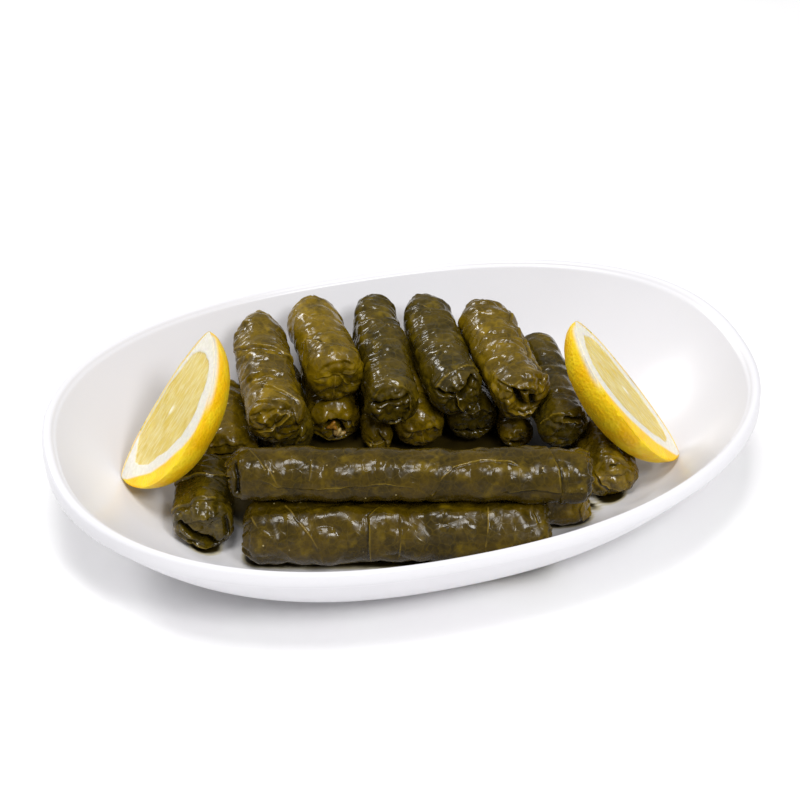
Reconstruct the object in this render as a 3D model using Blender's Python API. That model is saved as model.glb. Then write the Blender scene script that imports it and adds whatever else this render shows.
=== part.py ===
"""Stuffed vine-leaf rolls piled on a white oval dish, with two lemon wedges.

Units are metres and +Z is up. The origin is on the table under the middle of the dish, and +X runs
along the dish's long side. Rolls and wedges are given in millimetres from that origin.
"""

import math
import random
from dataclasses import dataclass

import bmesh
import bpy
from mathutils import Matrix, Vector

MM = 0.001
GAP = 0.3 * MM  # clear space between pieces that touch

# Dish: an oval coupe shape, its rim a superellipse that rises a little towards both ends.
DISH_LENGTH = 0.270
DISH_WIDTH = 0.177
RIM_HEIGHT = 0.040
END_RISE = 0.005
OUTLINE_POWER = 2.28
FLOOR_TOP = 0.0065
FLOOR_EDGE = 0.58  # fraction of the way from the middle to the rim
WALL_INNER_EDGE = 0.965
WALL_INNER_POWER = 1.75
WALL_OUTER_TOP = 0.036
WALL_OUTER_EDGE = 0.62
WALL_OUTER_POWER = 1.75
WALL_OUTER_FOOT = 0.0025
FOOT_OUTER = 0.60
FOOT_INNER = 0.55
FOOT_RECESS_EDGE = 0.53
UNDERSIDE = 0.0018
LIP_CREST = 0.0012  # the rounded lip stands this far above the inner wall's top
DISH_SIDES = 48
WALL_STEPS = 6

# Rolls: sides round, spacing of the rings along the roll, and how the folded ends are shaped.
ROLL_SIDES = 16
RING_SPACING = 9.0 * MM
END_TAPER_LENGTH = 5.0 * MM
END_TAPER = 0.07
LIP_RADIUS = 0.90  # fraction of the roll's radius, at the crest of the leaf's end lip
TUCK_RADIUS = 0.66
TUCK_DEPTH = 2.6 * MM
FOLD_STEP = 1.3 * MM
WRAP_STEP = 0.7 * MM  # thickness that shows where a leaf's edge lies over the leaf below
LUMP = 0.028  # unevenness of the filling, as a fraction of the radius
CONTACT_REACH = 2.0 * MM

# Lemon wedges: cut lengthwise, flat on the cut side and rind all round the back.
LEMON_STEPS = 14
LEMON_ARC_STEPS = 9
LEMON_FULLNESS = 2.1  # how square the outline is along the wedge
LEMON_ROUNDNESS = 0.56  # how blunt its ends are
NUB_WIDTH = 0.12  # of the half-width
NUB_REACH = 0.90  # where the lemon's body ends and its nub stands out
RIND_WIDTH = 1.6 * MM
FLESH_DROP = 0.25 * MM

LEAF_COLOURS = {
    "olive": (0.075, 0.062, 0.010, 1.0),
    "dark": (0.040, 0.036, 0.008, 1.0),
    "yellow": (0.115, 0.088, 0.012, 1.0),
}
GLAZE_COLOUR = (0.83, 0.83, 0.84, 1.0)
LEMON_COLOUR = (0.86, 0.60, 0.03, 1.0)


@dataclass(frozen=True)
class Roll:
    """One rolled leaf: the middles of its near and far ends, and its diameter, all in millimetres."""

    name: str
    near: tuple
    far: tuple
    diameter: float
    leaf: str
    seed: int


ROLLS = (
    Roll("roll_front_low", (-68.7, -29.2, 18.3), (37.0, -58.5, 20.5), 23.2, "olive", 1),
    Roll("roll_front_back", (58.6, -42.5, 17.8), (-29.0, -17.5, 17.5), 22.0, "yellow", 2),
    Roll("roll_front_top", (-71.4, -17.1, 36.5), (52.5, -56.5, 39.3), 19.6, "olive", 3),
    Roll("roll_upper_1", (-48.3, 4.4, 36.4), (-43.1, 63.4, 39.7), 21.3, "olive", 4),
    Roll("roll_upper_2", (-20.8, 21.5, 38.4), (-20.9, 67.0, 40.0), 22.5, "yellow", 5),
    Roll("roll_upper_3", (-3.8, 5.2, 34.4), (4.3, 65.4, 37.6), 21.0, "dark", 6),
    Roll("roll_upper_4", (22.3, 3.8, 35.8), (23.7, 59.3, 38.6), 21.3, "dark", 7),
    Roll("roll_upper_5", (44.4, -8.3, 38.4), (43.3, 47.0, 40.1), 21.3, "olive", 8),
    Roll("roll_upper_6", (58.0, -18.2, 27.4), (61.5, 34.8, 30.2), 20.3, "dark", 9),
    Roll("roll_lower_0", (-83.6, -25.2, 18.4), (-76.5, 9.6, 17.8), 22.3, "dark", 10),
    Roll("roll_lower_1", (-66.0, 11.5, 18.4), (-61.5, 50.0, 21.0), 21.3, "olive", 11),
    Roll("roll_lower_2", (-42.5, 17.0, 16.8), (-38.5, 58.5, 20.5), 20.0, "dark", 12),
    Roll("roll_lower_3", (-22.0, 22.3, 17.0), (-16.0, 62.5, 21.0), 20.0, "yellow", 13),
    Roll("roll_lower_4", (-6.9, 12.9, 13.0), (-1.2, 61.0, 17.0), 12.8, "olive", 14),
    Roll("roll_lower_5", (8.8, 9.1, 17.0), (15.0, 62.5, 21.0), 20.0, "yellow", 15),
    Roll("roll_lower_6", (30.3, 6.9, 18.0), (33.5, 60.0, 21.0), 20.0, "dark", 16),
    Roll("roll_lower_7", (45.1, -0.6, 13.6), (49.5, 54.0, 17.0), 13.6, "olive", 17),
    Roll("roll_lower_8", (70.2, -38.0, 17.8), (77.0, 21.0, 18.5), 21.3, "olive", 18),
)


@dataclass(frozen=True)
class Wedge:
    """One lemon wedge: its middle, the direction of its blunt end, its cut face's normal and its sizes.

    The cut face is a lopsided oval. Its fuller half is towards the dish's front. Sizes are millimetres.
    """

    name: str
    middle: tuple
    towards_blunt_end: tuple
    face_normal: tuple
    length: float
    fuller_half: float
    flatter_half: float
    depth: float


WEDGES = (
    Wedge(
        "lemon_left",
        middle=(-88.0, 15.5, 46.5),
        towards_blunt_end=(0.578, 0.125, 0.806),
        face_normal=(-0.80, -0.08, 0.59),
        length=66.5,
        fuller_half=27.0,
        flatter_half=6.5,
        depth=18.5,
    ),
    Wedge(
        "lemon_right",
        middle=(80.2, -20.0, 47.0),
        towards_blunt_end=(-0.537, 0.310, 0.785),
        face_normal=(0.72, -0.32, 0.62),
        length=69.0,
        fuller_half=20.0,
        flatter_half=8.0,
        depth=17.0,
    ),
)


def clear_scene():
    """Remove whatever the startup file holds."""
    for obj in list(bpy.data.objects):
        bpy.data.objects.remove(obj, do_unlink=True)


def surface_material(name, colour, roughness):
    """Return a Principled material of one colour."""
    material = bpy.data.materials.new(name)
    material.use_nodes = True
    shader = material.node_tree.nodes["Principled BSDF"]
    shader.inputs["Base Color"].default_value = colour
    shader.inputs["Roughness"].default_value = roughness
    shader.inputs["Metallic"].default_value = 0.0
    return material


def finish_object(name, mesh_data, material, sharp_angle):
    """Put a bmesh in the scene as one smooth-shaded object."""
    bmesh.ops.triangulate(mesh_data, faces=mesh_data.faces[:])
    bmesh.ops.recalc_face_normals(mesh_data, faces=mesh_data.faces[:])
    mesh = bpy.data.meshes.new(name)
    mesh_data.to_mesh(mesh)
    mesh_data.free()
    mesh.materials.append(material)
    mesh.shade_smooth()
    mesh.set_sharp_from_angle(angle=math.radians(sharp_angle))
    obj = bpy.data.objects.new(name, mesh)
    bpy.context.scene.collection.objects.link(obj)
    return obj


def lathe(profile, sides, arc=2 * math.pi):
    """Spin (radius, along) points about the Z axis and return the bmesh."""
    turned = bmesh.new()
    points = [turned.verts.new((radius, 0.0, along)) for radius, along in profile]
    edges = [turned.edges.new(pair) for pair in zip(points, points[1:])]
    bmesh.ops.spin(
        turned,
        geom=points + edges,
        cent=(0, 0, 0),
        axis=(0, 0, 1),
        angle=arc,
        steps=sides,
        use_merge=arc > math.pi * 1.5,
    )
    bmesh.ops.remove_doubles(turned, verts=turned.verts[:], dist=1e-7)
    return turned


# Dish

def wall_inner(fraction):
    """Height of the dish's upper face at a fraction of the way out to the rim."""
    climb = (fraction - FLOOR_EDGE) / (WALL_INNER_EDGE - FLOOR_EDGE)
    return FLOOR_TOP + (RIM_HEIGHT - FLOOR_TOP) * max(climb, 0.0) ** WALL_INNER_POWER


def wall_outer(fraction):
    """Height of the dish's lower face at a fraction of the way out to the rim."""
    climb = (fraction - WALL_OUTER_EDGE) / (1.0 - WALL_OUTER_EDGE)
    return WALL_OUTER_FOOT + (WALL_OUTER_TOP - WALL_OUTER_FOOT) * max(climb, 0.0) ** WALL_OUTER_POWER


def lifted(height, x):
    """Add the rise of the dish's ends, which fades towards the foot."""
    return height + END_RISE * (2 * x / DISH_LENGTH) ** 2 * (height / RIM_HEIGHT) ** 2


def dish_top(x, y):
    """Height of the dish's upper face above a point of the table."""
    across = abs(2 * x / DISH_LENGTH) ** OUTLINE_POWER + abs(2 * y / DISH_WIDTH) ** OUTLINE_POWER
    return lifted(wall_inner(across ** (1 / OUTLINE_POWER)), x)


def dish_profile():
    """Return (fraction, height) points from the middle of the floor, over the lip, to the underside."""
    inner = [FLOOR_EDGE + (WALL_INNER_EDGE - FLOOR_EDGE) * i / WALL_STEPS for i in range(WALL_STEPS + 1)]
    outer = [1.0 - (1.0 - WALL_OUTER_EDGE) * i / WALL_STEPS for i in range(WALL_STEPS + 1)]
    crest = (WALL_INNER_EDGE + 1.0) / 2
    return (
        [(0.0, FLOOR_TOP), (FLOOR_EDGE / 2, FLOOR_TOP)]
        + [(fraction, wall_inner(fraction)) for fraction in inner]
        + [(crest, RIM_HEIGHT + LIP_CREST), (1.0 - (1.0 - crest) / 4, RIM_HEIGHT)]
        + [(fraction, wall_outer(fraction)) for fraction in outer]
        + [(FOOT_OUTER, 0.0), (FOOT_INNER, 0.0), (FOOT_RECESS_EDGE, UNDERSIDE), (0.0, UNDERSIDE)]
    )


def make_dish(material):
    """Turn the dish's profile and stretch each ring to the oval outline."""
    dish = lathe(dish_profile(), DISH_SIDES)
    for vert in dish.verts:
        fraction = math.hypot(vert.co.x, vert.co.y)
        turn = math.atan2(vert.co.y, vert.co.x)
        cos, sin = math.cos(turn), math.sin(turn)
        x = math.copysign(abs(cos) ** (2 / OUTLINE_POWER), cos) * fraction * DISH_LENGTH / 2
        y = math.copysign(abs(sin) ** (2 / OUTLINE_POWER), sin) * fraction * DISH_WIDTH / 2
        vert.co = Vector((x, y, lifted(vert.co.z, x)))
    return finish_object("dish", dish, material, 60)


# Lemon wedges

def lemon_outline(along):
    """Half-width of the lemon, as a fraction, where along runs from -1 at the nub to 1."""
    body = (along + 1.0 - NUB_REACH) / NUB_REACH if along < 0 else along
    belly = max(1.0 - abs(body) ** LEMON_FULLNESS, 0.0) ** LEMON_ROUNDNESS
    nub = NUB_WIDTH * max(1.0 - abs(along) ** 8, 0.0) ** 0.5
    return max(belly, nub)


def make_wedge(wedge, material):
    """Spin half a lemon, stretch it to the wedge's section, close its cut face and lay it on the dish."""
    steps = [-math.cos(math.pi * i / LEMON_STEPS) for i in range(LEMON_STEPS + 1)]
    profile = [(lemon_outline(step), step * wedge.length * MM / 2) for step in steps]
    cheek = lathe(profile, LEMON_ARC_STEPS, math.pi)
    axis = Vector(wedge.towards_blunt_end).normalized()
    back = -Vector(wedge.face_normal)
    back = (back - axis * back.dot(axis)).normalized()
    across = back.cross(axis)
    front_side = 1 if across.y < 0 else -1
    for vert in cheek.verts:
        full = vert.co.x * front_side > 0
        vert.co.x *= (wedge.fuller_half if full else wedge.flatter_half) * MM
        vert.co.y *= wedge.depth * MM
    rim = [edge for edge in cheek.edges if edge.is_boundary]
    cut = bmesh.ops.contextual_create(cheek, geom=rim)["faces"]
    bmesh.ops.inset_individual(cheek, faces=cut, thickness=RIND_WIDTH, depth=0.0)
    for vert in cut[0].verts:
        vert.co.y += FLESH_DROP
    place = Matrix((across, back, axis)).transposed().to_4x4()
    place.translation = Vector(wedge.middle) * MM
    cheek.transform(place)
    sink = min(vert.co.z - dish_top(vert.co.x, vert.co.y) for vert in cheek.verts)
    bmesh.ops.translate(cheek, verts=cheek.verts[:], vec=(0, 0, 1.5 * GAP - sink))
    return finish_object(wedge.name, cheek, material, 35)


# Rolls

class Space:
    """The straight cylinder that a roll fills before it is pressed against its neighbours."""

    def __init__(self, roll):
        self.near = Vector(roll.near) * MM
        self.far = Vector(roll.far) * MM
        self.middle = (self.near + self.far) / 2
        self.length = (self.far - self.near).length
        self.axis = (self.far - self.near).normalized()
        self.radius = roll.diameter * MM / 2
        self.side = self.axis.cross(Vector((0, 0, 1))).normalized()
        self.top = self.side.cross(self.axis)

    def reach(self, direction):
        """How far the cylinder reaches from its middle in a direction."""
        along = abs(self.axis.dot(direction))
        return along * self.length / 2 + self.radius * math.sqrt(max(1 - along * along, 0.0))


class Body:
    """A finished piece that the rolls are pressed against, known by its points."""

    def __init__(self, obj):
        self.points = [vert.co.copy() for vert in obj.data.vertices]
        self.middle = sum(self.points, Vector()) / len(self.points)

    def reach(self, direction):
        """How far the piece reaches from its middle in a direction."""
        return max((point - self.middle).dot(direction) for point in self.points)


def clearance(one, other, direction):
    """Room between two bodies along a direction that points from the first to the second."""
    apart = (other.middle - one.middle).dot(direction)
    return apart - one.reach(direction) - other.reach(-direction)


def parting_direction(one, other):
    """Search for the direction along which two convex bodies are furthest apart."""
    draw = random.Random(7)
    best = (other.middle - one.middle).normalized()
    room = clearance(one, other, best)
    for spread in (1.0, 0.5, 0.25, 0.12, 0.06, 0.03, 0.015):
        for _ in range(40):
            turned = (best + spread * Vector([draw.uniform(-1, 1) for _ in range(3)])).normalized()
            wider = clearance(one, other, turned)
            if wider > room:
                best, room = turned, wider
    return best, room


def contact_planes(spaces, wedges):
    """Return, for each roll, the (point, outward normal) planes that it may not cross."""
    planes = [[] for _ in spaces]
    for i, one in enumerate(spaces):
        for j in range(i + 1, len(spaces)):
            normal, room = parting_direction(one, spaces[j])
            if room > CONTACT_REACH:
                continue
            edge = one.middle + normal * (one.reach(normal) + room / 2)
            planes[i].append((edge - normal * GAP / 2, normal))
            planes[j].append((edge + normal * GAP / 2, -normal))
        for wedge in wedges:
            normal, room = parting_direction(one, wedge)
            if room < CONTACT_REACH:
                edge = wedge.middle - normal * (wedge.reach(-normal) + GAP)
                planes[i].append((edge, normal))
    return planes


def roll_profile(space):
    """Return (radius, along) points from the near tuck, along the side, to the far tuck."""
    half = space.length / 2
    count = max(int(round((space.length - 2 * END_TAPER_LENGTH) / RING_SPACING)), 3)
    body = space.length - 2 * END_TAPER_LENGTH
    side = [-half + END_TAPER_LENGTH + body * i / count for i in range(count + 1)]
    end = [
        (0.0, half - TUCK_DEPTH * 0.5),
        (space.radius * TUCK_RADIUS * 0.5, half - TUCK_DEPTH * 0.7),
        (space.radius * TUCK_RADIUS, half - TUCK_DEPTH),
        (space.radius * LIP_RADIUS, half),
        (space.radius, half - END_TAPER_LENGTH * 0.3),
    ]
    near = [(radius, -along) for radius, along in end]
    return near + [(space.radius, along) for along in side] + end[::-1]


def leaf_relief(space, draw):
    """Return a function that gives the roll's unevenness at a distance along and an angle round it."""
    phases = [draw.uniform(0, 2 * math.pi) for _ in range(4)]
    edge_start = draw.uniform(0, 2 * math.pi)
    edge_twist = draw.choice((-1, 1)) * draw.uniform(18, 30)

    def relief(along, turn):
        lump = math.sin(2 * turn + phases[0]) + 0.6 * math.sin(3 * turn + phases[1] + 60 * along)
        lump += 0.7 * math.sin(along / (7.5 * MM) + phases[2])
        past_edge = (turn - edge_start - edge_twist * along) % (2 * math.pi)
        wrap = WRAP_STEP * (1 - past_edge / (2 * math.pi))
        taper = max(abs(along) - space.length / 2 + END_TAPER_LENGTH, 0.0) / END_TAPER_LENGTH
        return LUMP * space.radius * lump * 0.5 + wrap - WRAP_STEP / 2 - END_TAPER * space.radius * taper

    return relief


def press(point, planes):
    """Move a point back behind every contact plane and above the dish."""
    for _ in range(12):
        for edge, normal in planes:
            over = (point - edge).dot(normal)
            if over > 0:
                point = point - normal * over
    floor = dish_top(point.x, point.y) + 1.5 * GAP
    if point.z < floor:
        point = Vector((point.x, point.y, floor))
    return point


def make_roll(roll, space, planes, material):
    """Turn a roll, fold its ends, give it the leaf's unevenness and press it into its place."""
    draw = random.Random(roll.seed)
    relief = leaf_relief(space, draw)
    fold_turns = [draw.uniform(0, math.pi) for _ in range(2)]
    turned = lathe(roll_profile(space), ROLL_SIDES)
    for vert in turned.verts:
        along = vert.co.z
        radius = math.hypot(vert.co.x, vert.co.y)
        turn = math.atan2(vert.co.y, vert.co.x)
        share = radius / space.radius
        grown = radius + relief(along, turn) * share
        if share < LIP_RADIUS + 0.01:
            fold = math.sin(turn - fold_turns[along > 0]) * share
            inward = -1 if along > 0 else 1
            along += inward * FOLD_STEP * (0.5 + 0.5 * math.tanh(4 * fold)) * (1.2 - share)
        placed = space.middle + space.axis * along
        placed += (space.side * math.cos(turn) + space.top * math.sin(turn)) * grown
        vert.co = press(placed, planes)
    return finish_object(roll.name, turned, material, 50)


def main():
    clear_scene()
    glaze = surface_material("white_glaze", GLAZE_COLOUR, 0.12)
    zest = surface_material("lemon_zest", LEMON_COLOUR, 0.40)
    leaves = {
        name: surface_material("vine_leaf_" + name, colour, 0.30)
        for name, colour in LEAF_COLOURS.items()
    }
    make_dish(glaze)
    wedges = [Body(make_wedge(wedge, zest)) for wedge in WEDGES]
    spaces = [Space(roll) for roll in ROLLS]
    for roll, space, planes in zip(ROLLS, spaces, contact_planes(spaces, wedges)):
        make_roll(roll, space, planes, leaves[roll.leaf])


main()
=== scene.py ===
"""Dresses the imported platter: glazed oval dish, cooked vine-leaf rolls and two lemon wedges.

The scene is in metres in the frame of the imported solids. Sizes of rolls, dish and wedges are in
millimetres. A point of a roll is given by how far it is along the roll from the near end and by its
turn in degrees, which is 0 on top and grows to the right as seen from the near end.
"""

import logging
import math
from dataclasses import dataclass, field
from enum import Enum
from functools import cache

import bmesh
import bpy
import numpy as np
from mathutils import Matrix, Vector
from mathutils.bvhtree import BVHTree


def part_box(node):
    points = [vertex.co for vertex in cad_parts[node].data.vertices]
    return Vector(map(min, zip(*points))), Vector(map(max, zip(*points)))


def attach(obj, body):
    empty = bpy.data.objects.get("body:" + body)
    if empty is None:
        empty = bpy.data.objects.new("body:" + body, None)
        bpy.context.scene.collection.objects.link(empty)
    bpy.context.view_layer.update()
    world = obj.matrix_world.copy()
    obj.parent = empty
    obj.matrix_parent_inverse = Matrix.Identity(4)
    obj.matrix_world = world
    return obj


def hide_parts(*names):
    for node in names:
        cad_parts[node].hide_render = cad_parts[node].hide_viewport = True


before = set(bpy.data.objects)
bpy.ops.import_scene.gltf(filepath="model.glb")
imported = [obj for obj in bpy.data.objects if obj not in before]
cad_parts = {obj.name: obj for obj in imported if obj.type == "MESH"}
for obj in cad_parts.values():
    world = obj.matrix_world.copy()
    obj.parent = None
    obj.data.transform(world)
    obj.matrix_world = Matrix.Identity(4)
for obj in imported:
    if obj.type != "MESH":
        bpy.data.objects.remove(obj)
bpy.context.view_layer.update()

MM = 0.001
LOG = logging.getLogger("platter")

Socket = bpy.types.NodeSocket
Material = bpy.types.Material
Shape = bmesh.types.BMesh
Array = np.ndarray
Point = tuple[float, float]
Place = tuple[float, float, float]
Colour = tuple[float, float, float, float]
Relief = dict[str, Array]


# Colour and nodes


def linear(hex_colour: str) -> Colour:
    """Turn an sRGB hex colour into linear red, green, blue and alpha.

    Args:
        hex_colour: Six hex digits after a hash.

    Returns:
        The colour as a node socket takes it.
    """
    parts = [int(hex_colour[i : i + 2], 16) / 255 for i in (1, 3, 5)]
    red, green, blue = (c / 12.92 if c <= 0.04045 else ((c + 0.055) / 1.055) ** 2.4 for c in parts)
    return (red, green, blue, 1.0)


def add_node(
    tree: bpy.types.NodeTree,
    kind: str,
    settings: dict[str, object] | None = None,
    values: dict[object, object] | None = None,
    links: dict[object, Socket] | None = None,
) -> bpy.types.Node:
    """Add a node with its settings, socket values and incoming links.

    Args:
        tree: The material's node tree.
        kind: The node's type name.
        settings: Node properties by name.
        values: Input socket values by name or index.
        links: Sockets that feed the inputs, by name or index.

    Returns:
        The new node.
    """
    node = tree.nodes.new(kind)
    for name, value in (settings or {}).items():
        setattr(node, name, value)
    for key, value in (values or {}).items():
        node.inputs[key].default_value = value
    for key, source in (links or {}).items():
        tree.links.new(source, node.inputs[key])
    return node


def per_mm(millimetres: float) -> float:
    """Return the texture scale whose pattern repeats about every so many millimetres."""
    return 1.0 / (millimetres * MM)


@dataclass
class NodeKit:
    """A material being made, with shorthand for the few things every finish does."""

    name: str
    tree: bpy.types.NodeTree = field(init=False)
    material: Material = field(init=False)
    place: Socket = field(init=False)

    def __post_init__(self) -> None:
        """Make the material and its object coordinates."""
        self.material = bpy.data.materials.new(self.name)
        self.material.use_nodes = True
        self.tree = self.material.node_tree
        self.place = add_node(self.tree, "ShaderNodeTexCoord").outputs["Object"]

    @property
    def shader(self) -> bpy.types.Node:
        """Return the Principled shader."""
        return self.tree.nodes["Principled BSDF"]

    def noise(self, size_mm: float, detail: float = 2.0, seed: float = 0.0) -> Socket:
        """Return noise with features of a real size.

        Args:
            size_mm: Size of the features.
            detail: Number of finer layers.
            seed: Offset that makes the pattern another one.

        Returns:
            The noise's factor output.
        """
        values = {"Location": (seed, 0, 0)}
        moved = add_node(self.tree, "ShaderNodeMapping", None, values, {"Vector": self.place})
        values = {"Scale": per_mm(size_mm), "Detail": detail, "Roughness": 0.55}
        links = {"Vector": moved.outputs[0]}
        return add_node(self.tree, "ShaderNodeTexNoise", None, values, links).outputs[0]

    def ramp(
        self, source: Socket, low: float, high: float, to_low: float = 0.0, to_high: float = 1.0
    ) -> Socket:
        """Map a range of a value smoothly onto another range.

        Args:
            source: The value.
            low: Where the change starts.
            high: Where it ends.
            to_low: Result at the start.
            to_high: Result at the end.

        Returns:
            The mapped value's output.
        """
        node = add_node(
            self.tree,
            "ShaderNodeMapRange",
            {"interpolation_type": "SMOOTHSTEP"},
            {"From Min": low, "From Max": high, "To Min": to_low, "To Max": to_high},
            {"Value": source},
        )
        return node.outputs["Result"]

    def blend(self, factor: Socket | float, first: Socket | str, second: Socket | str) -> Socket:
        """Mix two colours.

        Args:
            factor: Share of the second colour, a socket or a number.
            first: Socket or hex colour below.
            second: Socket or hex colour above.

        Returns:
            The mixed colour's output.
        """
        node = add_node(self.tree, "ShaderNodeMix", {"data_type": "RGBA"})
        for index, part in ((0, factor), (6, first), (7, second)):
            if isinstance(part, Socket):
                self.tree.links.new(part, node.inputs[index])
            else:
                node.inputs[index].default_value = linear(part) if isinstance(part, str) else part
        return node.outputs[2]

    def cells(self, size_mm: float, place: Socket, **settings: str) -> Socket:
        """Return the distance output of a Voronoi pattern with cells of a real size."""
        values, links = {"Scale": per_mm(size_mm)}, {"Vector": place}
        return add_node(self.tree, "ShaderNodeTexVoronoi", settings, values, links).outputs[0]

    def attribute(self, name: str) -> Socket:
        """Return a number that the mesh carries."""
        return add_node(self.tree, "ShaderNodeAttribute", {"attribute_name": name}).outputs["Fac"]

    def bump(self, layers: list[tuple[Socket, float]]) -> None:
        """Stack bump layers on the shader.

        Args:
            layers: Height source and its depth in millimetres, coarse ones first.
        """
        below = None
        for height, depth_mm in layers:
            links = {"Height": height} if below is None else {"Height": height, "Normal": below}
            values = {"Strength": 1.0, "Distance": depth_mm * MM}
            below = add_node(self.tree, "ShaderNodeBump", None, values, links).outputs[0]
        self.tree.links.new(below, self.shader.inputs["Normal"])

    def set(self, **values: object) -> None:
        """Set the shader's own sockets by name, with underscores for spaces."""
        for name, value in values.items():
            self.shader.inputs[name.replace("_", " ")].default_value = value

    def feed(self, socket: str, source: Socket) -> None:
        """Link a value into one of the shader's sockets."""
        self.tree.links.new(source, self.shader.inputs[socket])


# Finishes


class LeafTone(Enum):
    """How a leaf cooked, and for the front rolls partly painted shade: dark, middle, pale; least and
    most rough; refraction; record slot.
    """

    OLIVE = ("#433504", "#655104", "#846B0A", 0.13, 0.32, 1.43, "vine_leaf_olive")
    # A darker copy of the olive leaf, in its slot, for the two front rolls: its darkness is partly
    # painted shade.
    DEEP = ("#2D2303", "#473703", "#655206", 0.14, 0.33, 1.35, "vine_leaf_olive")
    DARK = ("#2D2505", "#483A05", "#695708", 0.12, 0.30, 1.42, "vine_leaf_dark")
    YELLOW = ("#4A3B03", "#705903", "#917608", 0.14, 0.34, 1.43, "vine_leaf_yellow")


@dataclass(frozen=True)
class CookedVineLeaf:
    """Brined vine leaf, simmered in oil and lemon juice: olive, blotchy, wet, finely veined."""

    tone: LeafTone

    def build(self) -> Material:
        """Make the leaf material.

        Returns:
            The material, which reads the attributes underside_shade, vein, edge and crease_shade; the
            two shade ones darken it as painted shade.
        """
        dark, middle, pale, wet, dull, refraction, _ = self.tone.value
        kit = NodeKit("cooked_vine_leaf_" + self.tone.name.lower())
        blotches = kit.ramp(kit.noise(11.0, 3.0), 0.36, 0.66)
        patches = kit.ramp(kit.noise(6.5, 3.0, 4.0), 0.52, 0.74)
        mottle = kit.ramp(kit.noise(1.7, 2.0, 2.0), 0.3, 0.7)
        colour = kit.blend(blotches, dark, middle)
        colour = kit.blend(patches, colour, pale)
        colour = kit.blend(0.18, colour, kit.blend(mottle, dark, pale))
        # The net of fine veins between the ribs, 3 to 4 mm across, shows as thin paler lines.
        cells = kit.cells(3.4, self.warped(kit), feature="DISTANCE_TO_EDGE")
        net = kit.ramp(cells, 0.0, 0.09, 1.0, 0.0)
        colour = kit.blend(kit.ramp(net, 0.0, 1.0, 0.0, 0.22), colour, pale)
        # Painted shade darkens the rolls' undersides and the creases, slits and gaps under leaf
        # edges; ribs and leaf edges are paler.
        for name, start, share, tint in (
            ("underside_shade", 0.0, 0.55, "#1E1703"),
            ("vein", 0.1, 0.6, "#93792A"),
            ("edge", 0.1, 0.65, "#937A1E"),
            ("crease_shade", 0.1, 0.92, "#0B0802"),
        ):
            colour = kit.blend(kit.ramp(kit.attribute(name), start, 1.0, 0.0, share), colour, tint)
        # Small pale flecks, about 0.6 mm across, lie on the leaf every 8 mm or so.
        flecks = kit.ramp(kit.cells(8.0, kit.place), 0.03, 0.05, 0.75, 0.0)
        colour = kit.blend(flecks, colour, "#C4B27E")
        kit.feed("Base Color", colour)
        # Oil pools unevenly, so the gloss breaks up in patches a few millimetres wide.
        kit.feed("Roughness", kit.ramp(kit.noise(3.2, 3.0, 7.0), 0.3, 0.75, wet, dull))
        kit.set(IOR=refraction)
        lumps, grain = kit.noise(2.8, 1.0, 9.0), kit.noise(0.9, 1.0, 5.0)
        kit.bump([(lumps, 0.05), (net, 0.022), (grain, 0.008)])
        return kit.material

    @staticmethod
    def warped(kit: NodeKit) -> Socket:
        """Bend the object coordinates by noise, so the vein net isn't a plain foam.

        Args:
            kit: The material being made.

        Returns:
            The bent coordinates.
        """
        values, links = {"Scale": per_mm(5.0)}, {"Vector": kit.place}
        warp = add_node(kit.tree, "ShaderNodeTexNoise", None, values, links).outputs[1]
        values, links = {"Scale": 2.5 * MM}, {"Vector": warp}
        shift = add_node(kit.tree, "ShaderNodeVectorMath", {"operation": "SCALE"}, values, links)
        links = {0: kit.place, 1: shift.outputs[0]}
        return add_node(kit.tree, "ShaderNodeVectorMath", links=links).outputs[0]


@dataclass(frozen=True)
class GlazedPorcelain:
    """White porcelain under a clear fired glaze: cool white, smooth, stained by a little juice and
    painted dark with shade under and between the food.
    """

    def build(self) -> Material:
        """Make the dish's material.

        Returns:
            The material, which reads the attribute juice_and_shade: a juice stain, and painted shade
            under and between the food.
        """
        kit = NodeKit("glazed_white_porcelain")
        drift = kit.ramp(kit.noise(60.0, 1.0), 0.3, 0.7)
        body = kit.blend(drift, "#E2E1E5", "#E5E4E8")
        # Oil and juice leave a thin brown-yellow film round the food.
        film = kit.blend(kit.ramp(kit.noise(9.0, 2.0, 3.0), 0.3, 0.7), "#A89C78", "#CFC7AC")
        stained = kit.blend(kit.ramp(kit.attribute("juice_and_shade"), 0.0, 0.6), body, film)
        # Painted shade: under the pile, between rolls and at their feet the floor turns near-black
        # olive-brown like dark oil, standing in for the shade there; at the feet it is partly real
        # oil.
        dark_oil_and_shade = kit.blend(kit.ramp(kit.noise(14.0, 2.0, 6.0), 0.3, 0.7), "#1F1804", "#332909")
        oil_and_shade_share = kit.ramp(kit.attribute("juice_and_shade"), 0.5, 1.0)
        kit.feed("Base Color", kit.blend(oil_and_shade_share, stained, dark_oil_and_shade))
        kit.set(Roughness=0.3, IOR=1.5)
        kit.bump([(kit.noise(25.0, 1.0, 1.0), 0.03)])
        return kit.material


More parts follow.
